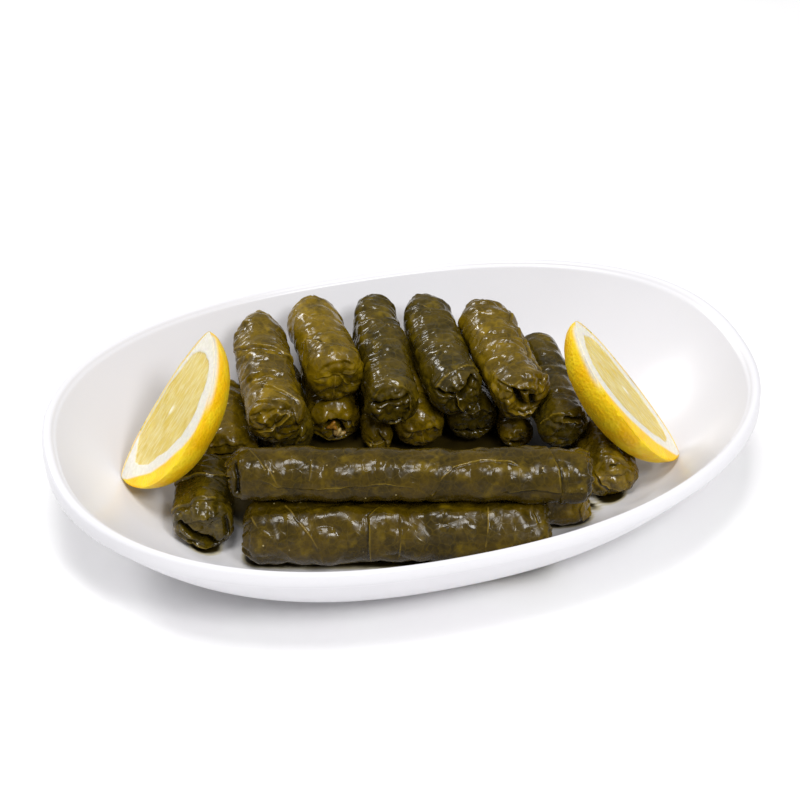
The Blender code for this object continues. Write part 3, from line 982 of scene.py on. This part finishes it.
ROLLS = (
    LeafRoll(
        "roll_front_low", (-68.7, -29.2, 18.3), (37.0, -58.5, 20.5), 23.2, DEEP, 1,
        swell=0.3, ring=0.25, crinkle=0.5, pucker=0.5, facets=1.4,
        marks=(
            vein((14.7, -9), (19.1, 27), (23.6, 53), (26.2, 75), (28.6, 114), size=0.8),
            vein((2.6, 15), (5, 40), (9, 52), (12.1, 73), (15.6, 89), (18.5, 112)),
            edge((50, -8), (44.6, 22), (45, 50), (44.7, 69), (44.9, 113), over=-1, size=0.8),
            edge((55.9, 28), (56.1, 60), (55.2, 99), over=-1, size=0.4),
            vein((87.5, 9), (87.3, 45), (86.3, 80)),
            vein((91.9, 26), (87.7, 49)),
            edge((103.3, -16), (103.4, 17), (105, 39)),
        ),
    ),
    LeafRoll(
        "roll_front_back", (58.6, -42.5, 17.8), (-29.0, -17.5, 17.5), 22.0, YELLOW, 2,
        ring=0.5, facets=1.2,
        marks=(edge((3.1, -65), (4.4, -79), (3.1, -122), over=-1, size=0.9),),
    ),
    LeafRoll(
        "roll_front_top", (-71.4, -17.1, 36.5), (52.5, -56.5, 39.3), 19.6, DEEP, 3,
        swell=0.5, ring=0.2, crinkle=0.5, pucker=0.6, facets=1.15,
        marks=(
            vein((14.3, 29), (16.3, 48), (18.9, 75)),
            vein((30.6, 15), (30.5, 42), (29.9, 61)),
            edge((7.4, -12), (12.9, 26), (14.4, 38), size=0.6),
            edge(
                (13.1, 61), (18, 75), (29.8, 80), (41.2, 77), (57.1, 67), (66, 74), over=-1, size=0.25
            ),
            vein((82, 31), (77, 54), (73.4, 93), size=1.1),
            edge((81.1, 35), (87.4, 20), (94.6, 16), (102.8, 26), over=-1, size=0.4),
            edge((112, -60), (116, 0), (118.5, 39), (119.5, 82), (110, 76), (101, 80), size=1.1),
            slit((3.0, 20), (4.4, 55), (4.0, 95), size=1.5),
            vein((1.4, 10), (1.9, 60), (1.6, 110), size=0.8),
        ),
        lip=1.2,
    ),
    LeafRoll(
        "roll_upper_1", (-48.3, 4.4, 36.4), (-43.1, 63.4, 39.7), 21.3, OLIVE, 4,
        far_point=(13.0, 0.30, 0.1), ring=1.3,
        marks=(
            edge(
                (42.4, -72), (39.6, -47), (37.5, -25), (35.4, -5), (33.6, 21), (32.5, 40), (32.3, 67),
                over=-1,
            ),
            edge((19.2, 28), (15, -1), (12, -20), (8.6, -38), (6.5, -52), (2.3, -77), over=-1),
            edge((5.9, -34), (3.3, -5), (2.4, 21), (1.1, 55), over=-1),
            edge((12.5, -17), (9, 5), (6, 30), (3, 52), (1, 72), over=-1, size=0.7),
            vein((31.1, 33), (27.7, 39), (23.3, 41)),
        ),
        end_marks=(
            edge((5.0, 6.8), (-1.9, 0.5), (-7.6, -1.2), size=0.8),
            slit((-9.6, 4.6), (-6.8, 5.7), size=1.3),
            edge((6.0, 6.0), (8.2, -1.1), (7.0, -7.0), size=0.9),
            edge((-8.0, 3.0), (0.0, 7.5), (8.0, 5.0), over=-1, size=0.7),
        ),
    ),
    LeafRoll(
        "roll_upper_2", (-20.8, 21.5, 38.4), (-20.9, 67.0, 40.0), 22.5, YELLOW, 5,
        far_point=(9.0, 0.45, -0.1), pucker=0.3, ring=0.8,
        marks=(
            vein((37.6, -40), (30.7, -19), (24.5, 0), (21.1, 21)),
            edge((19.5, -36), (18.3, -9), (17.8, 17), (21.2, 57), size=1.0),
            edge((18.7, -41), (14.1, -19), (8.4, -6), (7.8, 9), (5.9, 27), (5.5, 46), size=1.0),
        ),
        end_marks=(
            edge((-10.0, 3.0), (-2.0, 4.5), (4.0, 3.5), (10.0, 5.0), size=0.35),
            vein((-1.0, 4.0), (-1.5, -4.0), (-2.0, -9.0)),
            edge((1.0, 4.0), (5.0, -2.0), (10.0, -3.0), over=-1, size=0.5),
        ),
    ),
    LeafRoll(
        "roll_upper_3", (-3.8, 5.2, 34.4), (4.3, 65.4, 37.6), 21.0, DARK, 6,
        far_point=(12.0, 0.40, 0.0), pucker=1.1, ring=1.5,
        marks=(
            edge((33.1, -71), (30.9, -26), (29, -4), (27.3, 16)),
            edge((1.4, -64), (2.5, -29), (2.6, 78), over=-1),
            vein((44.6, -21), (42.5, -3), (39.4, 22)),
        ),
        end_marks=(
            slit((-7.6, 2.0), (-1.2, 3.7), (5.3, 4.5), size=1.6),
            edge((-8.4, -3.5), (-3.0, -7.7), (4.0, -6.0), over=-1, size=0.8),
            edge((7.0, 6.9), (6.1, -2.1), (3.0, -8.0), size=0.9),
        ),
        lip=1.1,
    ),
    LeafRoll(
        "roll_upper_4", (22.3, 3.8, 35.8), (23.7, 59.3, 38.6), 21.3, DARK, 7,
        far_point=(10.0, 0.45, -0.35), pucker=1.0, ring=1.2,
        marks=(
            vein((53.5, -48), (48.6, -26), (45.1, -8)),
            edge((37.2, 9), (35.9, 25), (34.7, 41), size=0.4),
            edge((3.0, -60), (4.2, -22), (5.3, 3), (7, 36), (8, 60), over=-1, size=0.7),
        ),
        end_marks=(
            slit((0.2, 0.9), (3.2, 5.8), (5.8, 9.2), size=2.2),
            slit((-8.9, 3.7), (-2.2, 2.4), size=1.6),
            edge((-10.5, 6.0), (-6.5, 4.6), (-2.6, 2.0), (-0.6, 5.0), (5.7, 9.8), size=1.5),
            edge((-1.0, 1.0), (-1.0, -4.0), (3.0, -9.0), size=0.9),
        ),
        lip=1.2,
    ),
    LeafRoll(
        "roll_upper_5", (44.4, -8.3, 38.4), (43.3, 47.0, 40.1), 21.3, OLIVE, 8,
        far_point=(3.0, 0.95, -0.1), far_corner=2.5, pucker=1.3, ring=1.5,
        marks=(
            vein((47.2, -36), (43.7, -4), (41.5, 34)),
            edge((47.7, 45), (30, 50), (14, 54), (4, 50), over=-1, size=0.8),
            edge((7.6, -51), (2.1, -39), (2.0, 10), (2.4, 51), over=-1),
        ),
        end_marks=(
            slit((-3.5, 5.1), (-2.0, 1.0), (-0.3, -2.5), size=2.2),
            slit((4.3, 10.0), (6.6, 6.5), size=1.6),
            slit((2.7, 1.2), (3.7, -3.5), size=1.6),
            slit((-6.8, 6.5), (0.5, 4.1), size=1.2),
            edge((-6.0, -4.0), (0.0, -6.5), (6.0, -5.0), over=-1, size=0.8),
        ),
        lip=1.3,
    ),
    LeafRoll(
        "roll_upper_6", (58.0, -18.2, 27.4), (61.5, 34.8, 30.2), 20.3, DARK, 9,
        far_point=(6.0, 0.75, 0.0), ring=1.0,
        marks=(
            vein((49.5, -3), (47.8, 24)),
            edge((5.7, -76), (4.1, -34), (1.5, -4), (1.4, 50), over=-1),
        ),
        end_marks=(
            slit((-0.8, 7.0), (6.0, 5.5), (7.8, 2.8), size=1.3),
            edge((-9.0, 3.0), (-3.0, 6.0), (5.0, 4.0), size=0.8),
        ),
    ),
    LeafRoll(
        "roll_lower_0", (-83.6, -25.2, 18.4), (-76.5, 9.6, 17.8), 22.3, DARK, 10,
        pucker=1.1,
        marks=(
            edge((24, -70), (21, -20), (19, 20), (23, 60), over=-1),
            edge((10, -80), (7, -30), (6, 10), (9, 60), over=-1),
        ),
        ring=0.8,
        end_marks=(
            slit((-8.0, 3.0), (-3.0, -1.5), (3.0, -6.0), (7.5, -8.0), size=2.2),
            slit((8.5, 5.0), (9.0, -3.0), size=1.4),
            edge((-3.0, 6.0), (3.0, 6.5), (9.0, 8.0), size=0.9),
            edge((-9.0, -3.0), (-2.0, -6.0), (5.0, -9.5), over=-1, size=0.7),
        ),
        lip=1.2,
    ),
    LeafRoll(
        "roll_lower_1", (-66.0, 11.5, 18.4), (-61.5, 50.0, 21.0), 21.3, OLIVE, 11, grid=HIDDEN_MM,
        marks=(edge((2.0, -80), (1.5, 0), (2.0, 80), over=-1),),
        end_marks=(
            slit((-6.0, 2.0), (0.0, 2.6), (7.5, 2.2), size=1.2),
            edge((-8.0, 6.0), (0.0, 8.0), (8.0, 6.0), size=0.9),
        ),
    ),
    LeafRoll(
        "roll_lower_2", (-42.5, 17.0, 16.8), (-38.5, 58.5, 20.5), 20.0, DARK, 12, grid=HIDDEN_MM,
        swell=0.6,
    ),
    # The paler yellow tone is partly painted light on the end, which lies in the front rolls' shade.
    LeafRoll(
        "roll_lower_3", (-22.0, 22.3, 17.0), (-16.0, 62.5, 21.0), 20.0, YELLOW, 13, grid=HIDDEN_MM,
        swell=0.6, pucker=1.0,
        end_marks=(
            slit((-3.6, 0.2), (-1.0, 2.6), (1.6, 1.2), (2.6, -2.4), (0.4, -5.4), size=1.5),
            edge((-9.0, 0.0), (-5.0, 4.0), (0.0, 5.0), (6.0, 2.0), (8.0, -4.0), size=0.9),
            edge((-8.0, -4.0), (-2.0, -7.0), (5.0, -6.0), over=-1, size=0.7),
        ),
        filling=True,
    ),
    LeafRoll(
        "roll_lower_4", (-6.9, 12.9, 13.0), (-1.2, 61.0, 17.0), 12.8, OLIVE, 14, grid=HIDDEN_MM,
    ),
    # The paler yellow tone is partly painted light on the end, which lies in the front rolls' shade.
    LeafRoll(
        "roll_lower_5", (8.8, 9.1, 17.0), (15.0, 62.5, 21.0), 20.0, YELLOW, 15, grid=HIDDEN_MM,
        end_marks=(
            edge((-8.0, -2.0), (-2.0, 2.5), (5.0, 3.0), (9.0, 0.0), size=0.9),
            vein((0.0, 2.0), (1.0, -4.0), (3.0, -8.0)),
        ),
    ),
    LeafRoll(
        "roll_lower_6", (30.3, 6.9, 18.0), (33.5, 60.0, 21.0), 20.0, DARK, 16, grid=HIDDEN_MM,
        end_marks=(
            slit((-7.8, -2.8), (1.3, -2.8), (8.2, -4.4), size=1.2),
            edge((-6.0, 5.0), (2.0, 7.0), (9.0, 3.0), size=0.8),
        ),
    ),
    LeafRoll(
        "roll_lower_7", (45.1, -0.6, 13.6), (49.5, 54.0, 17.0), 13.6, OLIVE, 17, grid=HIDDEN_MM,
        end_marks=(
            slit((-2.6, -2.2), (1.5, -3.5), size=1.8),
            edge((-5.0, 1.0), (0.0, 2.5), (5.0, 0.0)),
        ),
    ),
    LeafRoll(
        "roll_lower_8", (70.2, -38.0, 17.8), (77.0, 21.0, 18.5), 21.3, OLIVE, 18,
        pucker=0.9,
        marks=(edge((2.5, -60), (4.0, 0), (3.0, 60), over=-1),),
        end_marks=(
            slit((-1.5, 6.0), (3.5, 6.6), (7.0, 5.5), size=1.1),
            slit((6.5, 6.0), (7.5, 3.5), size=1.5),
            edge((-9.0, 6.0), (-5.0, -1.0), (2.0, -5.0), (9.0, -7.0), size=0.9),
        ),
    ),
)


# Dish


@dataclass
class OvalDish:
    """The coupe dish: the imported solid's own sizes in millimetres, with a finer surface."""

    node: str = "dish"
    length: float = 270.0
    width: float = 177.0
    rim: float = 40.0
    end_rise: float = 5.0
    power: float = 2.28
    floor: float = 6.5
    floor_edge: float = 0.58
    inner_edge: float = 0.965
    inner_power: float = 1.75
    outer_top: float = 36.0
    outer_edge: float = 0.62
    outer_power: float = 1.75
    outer_foot: float = 2.5
    foot: tuple[Point, ...] = (
        (0.605, 0.9), (0.60, 0.0), (0.55, 0.0), (0.535, 1.5), (0.53, 1.8), (0.0, 1.8)
    )
    lip_crest: float = 1.2
    lip_drop: float = 0.9
    pile_floor: float = 30.0
    lip_step: float = 0.007
    # The ellipse under the pile of rolls where the floor is painted dark as shade.
    pile_shade_axis: Point = (0.9637, 0.2671)
    pile_shade_middle: Point = (-5.0, -2.0)
    pile_shade_length: float = 80.0
    pile_shade_back: float = 56.0
    pile_shade_front: float = 44.0
    wedge_feet: tuple[tuple[Point, float], ...] = (((-96.0, -2.0), 8.0), ((92.0, -38.0), 9.0))

    def lifted(self, height: Array, x: Array) -> Array:
        """Add the rise of the dish's two ends."""
        return height + self.end_rise * (2 * x / self.length) ** 2 * (height / self.rim) ** 2

    def inner(self, fraction: Array) -> Array:
        """Height of the upper face at a fraction of the way out."""
        climb = np.maximum((fraction - self.floor_edge) / (self.inner_edge - self.floor_edge), 0.0)
        return self.floor + (self.rim - self.floor) * climb**self.inner_power

    def outer(self, fraction: Array) -> Array:
        """Height of the lower face at a fraction of the way out."""
        climb = np.maximum((fraction - self.outer_edge) / (1 - self.outer_edge), 0.0)
        return self.outer_foot + (self.outer_top - self.outer_foot) * climb**self.outer_power

    def profile(self) -> list[Point]:
        """Return the outline that is spun and stretched to the dish.

        Returns:
            (fraction, height) points from the floor's middle over the lip to the underside.
        """
        floor = [(f, self.floor) for f in np.linspace(0.0, self.floor_edge, 40)]
        wall = np.linspace(self.floor_edge, self.inner_edge, 60)[1:]
        inside = [(f, float(self.inner(np.float64(f)))) for f in wall]
        middle = (self.inner_edge + 1) / 2
        spread = (1 - self.inner_edge) / 2
        foot, crest = self.rim - self.lip_drop, self.lip_crest + self.lip_drop
        lip = []
        for turn in np.linspace(0.15, math.pi - 0.5, 9):
            lip.append((middle - spread * math.cos(turn), foot + crest * math.sin(turn)))
        lip.append((1.0, self.outer_top + self.lip_crest))
        outside = []
        down = (np.linspace(1.0, 0.97, 14), np.linspace(0.965, self.outer_edge, 52))
        for f in np.concatenate(down):
            step = self.lip_step * smooth_step((1.0 - f) / 0.014) * smooth_step((f - 0.7) / 0.2)
            outside.append((float(f - step), float(self.outer(np.float64(f)))))
        return floor + inside + lip[1:] + outside + list(self.foot)

    def build(self) -> bpy.types.Object:
        """Make the dish, stain it where the food drips and paint shade under and between the food.

        Returns:
            The dressed dish.
        """
        shape = spun(self.profile(), 240)
        local = coordinates(shape)
        fraction = np.hypot(local[:, 0], local[:, 1])
        turn = np.arctan2(local[:, 1], local[:, 0])
        cos, sin = np.cos(turn), np.sin(turn)
        x = np.sign(cos) * np.abs(cos) ** (2 / self.power) * fraction * self.length / 2
        y = np.sign(sin) * np.abs(sin) ** (2 / self.power) * fraction * self.width / 2
        z = self.lifted(local[:, 2], x)
        places = np.stack([x, y, z], axis=1)
        set_coordinates(shape, places * MM)
        paint(shape, "juice_and_shade", self.juice_and_shade(places, local[:, 2]))
        glaze = GlazedPorcelain().build()
        return mesh_object("glazed_dish", shape, glaze, self.node)

    def juice_and_shade(self, places: Array, height: Array) -> Array:
        """Return how much juice stain and painted shade lies on each point: painted shade most under
        the food, a stain less round it.

        Args:
            places: The dish's points in millimetres.
            height: Their heights before the ends' rise.

        Returns:
            A share from 0 to 1 for each point.
        """
        flat = places[:, :2]
        cos, sin = self.pile_shade_axis
        turned = flat @ np.array([[cos, sin], [-sin, cos]]) - self.pile_shade_middle
        depth = np.where(turned[:, 1] > 0, self.pile_shade_back, self.pile_shade_front)
        out = np.hypot(turned[:, 0] / self.pile_shade_length, turned[:, 1] / depth)
        # Painted shade: the floor under the pile turns dark inside this ellipse.
        pile_shade = 1 - smooth_step((out - 0.88) / 0.12)
        gaps = []
        for roll in ROLLS:
            if roll.start[2] > self.pile_floor:
                continue
            rel = flat - roll.start[:2]
            run = roll.along[:2] * roll.length
            short = 0.4 * roll.radius / roll.length
            along = np.clip((rel @ run) / (run @ run), short, 1 - short)
            gaps.append(np.linalg.norm(rel - along[:, None] * run, axis=1) - 0.55 * roll.radius)
        nearest, second = np.partition(np.array(gaps), 1, axis=0)[:2]
        # Painted shade in the narrow floor gaps between neighbouring rolls.
        between = (1 - smooth_step((second - 4.0) / 2.0)) * (1 - smooth_step((out - 1.0) / 0.12))
        pile_shade = np.maximum(pile_shade, between)
        for spot, radius in self.wedge_feet:
            gap = np.linalg.norm(flat - spot, axis=1) - radius
            nearest = np.minimum(nearest, np.maximum(gap, 4.0))
        wobble = 2.0 * lattice_noise(places, 13.0, 5)
        film = 0.14 * (1 - smooth_step((nearest + wobble - 1.0) / 7.0))
        # Dark oil at the rolls' feet, partly painted contact shadow.
        wet = 0.86 * (1 - smooth_step((nearest + 1.6) / 2.6))
        fraction = np.hypot(flat[:, 0] / self.length, flat[:, 1] / self.width) * 2
        on_top = np.abs(height - self.inner(fraction)) < 9
        return np.maximum(film + wet, pile_shade) * on_top


# Lemon


@dataclass
class LemonWedge:
    """A lengthwise lemon wedge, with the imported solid's own sizes in millimetres."""

    node: str
    middle: Place
    towards_blunt_end: Place
    face_normal: Place
    length: float
    fuller_half: float
    flatter_half: float
    depth: float
    core: Point
    zest_from: tuple[Point, ...]
    flesh_front: tuple[Point, ...]
    flesh_back: tuple[Point, ...]
    seed: int

    def __post_init__(self) -> None:
        """Work out the wedge's own axes: across the face, into the wedge and along it."""
        axis = Vector(self.towards_blunt_end).normalized()
        back = -Vector(self.face_normal)
        back = (back - axis * back.dot(axis)).normalized()
        across = back.cross(axis)
        self.axes = np.array([across[:], back[:], axis[:]])
        self.front_side = 1 if across.y < 0 else -1

    def outline(self, along: Array) -> Array:
        """Return the half-width of the lemon as a fraction.

        Args:
            along: From -1 at the nub to 1 at the blunt end.

        Returns:
            A share from 0 to 1 for each point.
        """
        body = np.where(along < 0, (along + 0.1) / 0.9, along)
        belly = np.maximum(1 - np.abs(body) ** 2.1, 0) ** 0.56
        nub = 0.12 * np.maximum(1 - np.abs(along) ** 8, 0) ** 0.5
        return np.maximum(belly, nub)

    def half(self, side: Array) -> Array:
        """Half-width in millimetres on the side that a place lies on."""
        return np.where(side * self.front_side > 0, self.fuller_half, self.flatter_half)

    def world(self, local: Array) -> Array:
        """Turn (across, inward, along) millimetres into metres in the scene's frame."""
        return (local @ self.axes + np.array(self.middle)) * MM

    def build(self) -> bpy.types.Object:
        """Spin the rind, close it with the cut face, and put it in place of its node.

        Returns:
            The dressed wedge.
        """
        steps = 132
        turns = [-math.cos(math.pi * i / steps) for i in range(steps + 1)]
        shape = spun([(float(self.outline(np.float64(t))), t) for t in turns], steps // 2, math.pi)
        made = bmesh.ops.create_grid(shape, x_segments=steps // 2, y_segments=steps, size=1.0)
        shape.verts.index_update()
        local = coordinates(shape)
        face = np.zeros(len(local), dtype=bool)
        face[[vert.index for vert in made["verts"]]] = True
        along = np.where(face, -np.cos(math.pi * (local[:, 1] + 1) / 2), local[:, 2])
        across = np.where(face, local[:, 0] * self.outline(along), local[:, 0])
        inward = np.where(face, 0.0, local[:, 1])
        half = self.half(across)
        places = np.stack([across * half, inward * self.depth, along * self.length / 2], axis=1)
        facing = across * self.front_side * half
        edge_gap = np.where(face, (self.outline(along) - np.abs(across)) * half, 0.0)
        bare = 0.8 * smooth_step(1 - inward / 0.16) * smooth_step((along - 0.3) / 0.3)
        bare *= smooth_step(facing / 4)
        pith = np.maximum(self.pith_share(along, facing, edge_gap), bare * (edge_gap < 4))
        pith = np.where(face, pith, bare)
        flesh = np.where(face, self.flesh_share(along, facing), 0.0)
        spot = np.hypot((places[:, 0] - self.core[0]) / 0.9, (places[:, 2] - self.core[1]) / 2.6)
        core = np.where(face, bell(spot, 1.0), 0.0)
        level = np.full(len(places), 5.0)
        streak = np.stack([places[:, 0] / 0.9, level, places[:, 2] / 8.0], axis=1)
        sunk = 0.35 * flesh + 0.25 * flesh * ridges(streak, 1.0, self.seed + 4) - 0.4 * core
        sunk += np.where(face, 0.7 * bell(edge_gap, 0.7) - 0.7 * (edge_gap <= 0), 0.0)
        sunk *= smooth_step(self.outline(along) * half / 5.0)
        places[:, 1] += sunk + np.where(face, 0.15 * lattice_noise(places, 7.0, self.seed + 2), 0.0)
        outward = places / np.array([self.fuller_half, self.depth, self.length / 2]) ** 2
        outward /= np.maximum(np.linalg.norm(outward, axis=1), 1e-6)[:, None]
        dimple = 0.07 * lattice_noise(places, 1.3, self.seed)
        dimple += 0.3 * lattice_noise(places, 11.0, self.seed + 1)
        places += outward * (dimple * smooth_step(inward / 0.12))[:, None]
        metres = self.world(places)
        metres[:, 2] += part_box(self.node)[0][2] - metres[:, 2].min()
        set_coordinates(shape, metres)
        for name, values in (("pith", pith), ("flesh", flesh), ("core", core)):
            paint(shape, name, values)
        sacs = shape.loops.layers.uv.new("sacs")
        for polygon in shape.faces:
            for loop in polygon.loops:
                x, _, z = places[loop.vert.index]
                loop[sacs].uv = (x / 0.8, z / 6.5)
        bmesh.ops.remove_doubles(shape, verts=shape.verts[:], dist=0.02 * MM)
        bmesh.ops.recalc_face_normals(shape, faces=shape.faces[:])
        lemon = FreshCutLemon().build()
        return mesh_object(self.node + "_cut", shape, lemon, self.node)

    def pith_share(self, along: Array, facing: Array, edge_gap: Array) -> Array:
        """Return how white the cut face is: zest colour runs in from its edge, most in front.

        Args:
            along: From -1 at the nub to 1 at the blunt end.
            facing: Millimetres towards the dish's front.
            edge_gap: Millimetres from the face's edge.

        Returns:
            A share from 0 to 1 for each point.
        """
        limit = np.interp(along, *zip(*self.zest_from))
        bled = smooth_step((limit - facing) / 2.2 + 0.5)
        behind = 0.35 + 0.65 * smooth_step(edge_gap / 0.6)
        return bled * np.where(facing > 0, smooth_step(edge_gap / 2.4), behind)

    def flesh_share(self, along: Array, facing: Array) -> Array:
        """Return where the flesh lies inside its ring of pith.

        Args:
            along: From -1 at the nub to 1 at the blunt end.
            facing: Millimetres towards the dish's front.

        Returns:
            A share from 0 to 1 for each point.
        """
        near = np.interp(along, *zip(*self.flesh_front))
        far = np.interp(along, *zip(*self.flesh_back))
        place = np.stack([along * 30, facing, facing * 0], axis=1)
        wobble = 0.35 * lattice_noise(place, 2.5, self.seed)
        inside = np.minimum(near - facing, facing - far) + wobble
        return smooth_step(inside / 1.1 + 0.5)


# Each point of a boundary is (how far from nub to blunt end, -1 to 1; millimetres to the front).
WEDGES = (
    LemonWedge(
        "lemon_left", (-88.0, 15.5, 46.5), (0.578, 0.125, 0.806), (-0.80, -0.08, 0.59),
        66.5, 27.0, 6.5, 18.5,
        core=(4.8, 1.2),
        zest_from=(
            (-1, 1), (-0.94, 4.2), (-0.62, 15.2), (-0.38, 20.2), (-0.1, 24), (0.16, 26.2),
            (0.4, 25.3), (0.7, 21), (1, 2),
        ),
        flesh_front=(
            (-0.8, -6), (-0.71, 5.4), (-0.6, 10.7), (-0.46, 12.9), (-0.28, 17), (-0.06, 19.1),
            (0.17, 20), (0.35, 18.3), (0.53, 16.4), (0.68, 13.1), (0.77, 9.8), (0.84, -6),
        ),
        flesh_back=(
            (-0.75, 3), (-0.67, 0), (-0.49, -5), (-0.28, -5.4), (-0.05, -5.4), (0.2, -5.2),
            (0.47, -3.4), (0.66, -2.3), (0.75, 0.7), (0.84, 8),
        ),
        seed=41,
    ),
    LemonWedge(
        "lemon_right", (80.2, -20.0, 47.0), (-0.537, 0.310, 0.785), (0.72, -0.32, 0.62),
        69.0, 20.0, 8.0, 17.0,
        core=(-2.2, 1.2),
        zest_from=(
            (-1, 1), (-0.96, 2.6), (-0.6, 9.6), (-0.32, 13), (-0.08, 15.4), (0.15, 16.6), (0.4, 17),
            (0.59, 15.8), (0.8, 11), (1, 3),
        ),
        flesh_front=(
            (-0.86, -5), (-0.74, 2.9), (-0.51, 7), (-0.25, 10.3), (-0.02, 12.1), (0.21, 12.8),
            (0.44, 12.4), (0.62, 10.4), (0.77, 6.5), (0.82, 1.7), (0.9, -5),
        ),
        flesh_back=(
            (-0.8, 2), (-0.75, -0.5), (-0.59, -3), (-0.35, -4.6), (-0.11, -4.8), (0.13, -4.8),
            (0.37, -4.8), (0.56, -4), (0.71, -2.7), (0.82, 1),
        ),
        seed=42,
    ),
)


# Studio

LAMP_TARGET = (0.0, 0.0, 0.03)


@dataclass(frozen=True)
class SoftBox:
    """A square lamp that points at the dish: its watts, and its side and place in metres."""

    name: str
    watts: float
    size: float
    place: Place

    def hang(self) -> None:
        """Put the lamp in the scene."""
        light = bpy.data.lights.new(self.name, "AREA")
        light.energy = self.watts
        light.size = self.size
        lamp = bpy.data.objects.new(self.name, light)
        spot = Vector(self.place)
        turned = (Vector(LAMP_TARGET) - spot).to_track_quat("-Z", "Y").to_matrix().to_4x4()
        lamp.matrix_world = Matrix.Translation(spot) @ turned
        bpy.context.scene.collection.objects.link(lamp)


@dataclass(frozen=True)
class Studio:
    """White floor, soft light from the back left and from above, and the photograph's camera."""

    world_strength: float = 0.38
    floor_half: float = 3.0
    lens_mm: float = 89.03
    sensor_mm: float = 36.0
    camera_place: Place = (-0.1597, -0.5591, 0.4971)
    camera_back: Place = (-0.2132, -0.7586, 0.6157)
    camera_right: Place = (0.9627, -0.2706, 0.0)
    lamps: tuple[SoftBox, ...] = (
        SoftBox("window_box", 3.1, 0.21, (-0.50, 0.66, 0.56)),
        SoftBox("top_box", 8.2, 0.38, (-0.14, -0.24, 1.30)),
        SoftBox("front_box", 8.0, 0.32, (0.25, -0.85, 1.05)),
    )

    def floor(self) -> None:
        """Lay the paper that the dish stands on."""
        shape = bmesh.new()
        bmesh.ops.create_grid(shape, x_segments=8, y_segments=8, size=self.floor_half)
        mesh = bpy.data.meshes.new("studio_floor")
        shape.to_mesh(mesh)
        shape.free()
        mesh.materials.append(StudioPaper().build())
        paper = bpy.data.objects.new("studio_floor", mesh)
        bpy.context.scene.collection.objects.link(paper)

    def light(self) -> None:
        """Set the world and hang the lamps."""
        world = bpy.data.worlds.new("studio_white")
        world.use_nodes = True
        background = world.node_tree.nodes["Background"]
        background.inputs[0].default_value = (1, 1, 1, 1)
        background.inputs[1].default_value = self.world_strength
        bpy.context.scene.world = world
        bpy.context.scene.view_settings.view_transform = "Standard"
        for lamp in self.lamps:
            lamp.hang()

    def camera(self) -> None:
        """Stand the camera where the photograph was taken."""
        data = bpy.data.cameras.new("camera")
        data.lens = self.lens_mm
        data.sensor_width = self.sensor_mm
        data.clip_end = 20.0
        camera = bpy.data.objects.new("camera", data)
        back = Vector(self.camera_back).normalized()
        right = Vector(self.camera_right).normalized()
        turned = Matrix((right, back.cross(right), back)).transposed().to_4x4()
        turned.translation = self.camera_place
        camera.matrix_world = turned
        bpy.context.scene.collection.objects.link(camera)
        bpy.context.scene.camera = camera


def main() -> None:
    """Build every piece in order."""
    logging.basicConfig(level=logging.INFO, format="%(message)s")
    OvalDish().build()
    for roll in ROLLS:
        roll.build()
    for wedge in WEDGES:
        wedge.build()
    studio = Studio()
    studio.floor()
    studio.light()
    studio.camera()


if __name__ == "__main__":
    main()
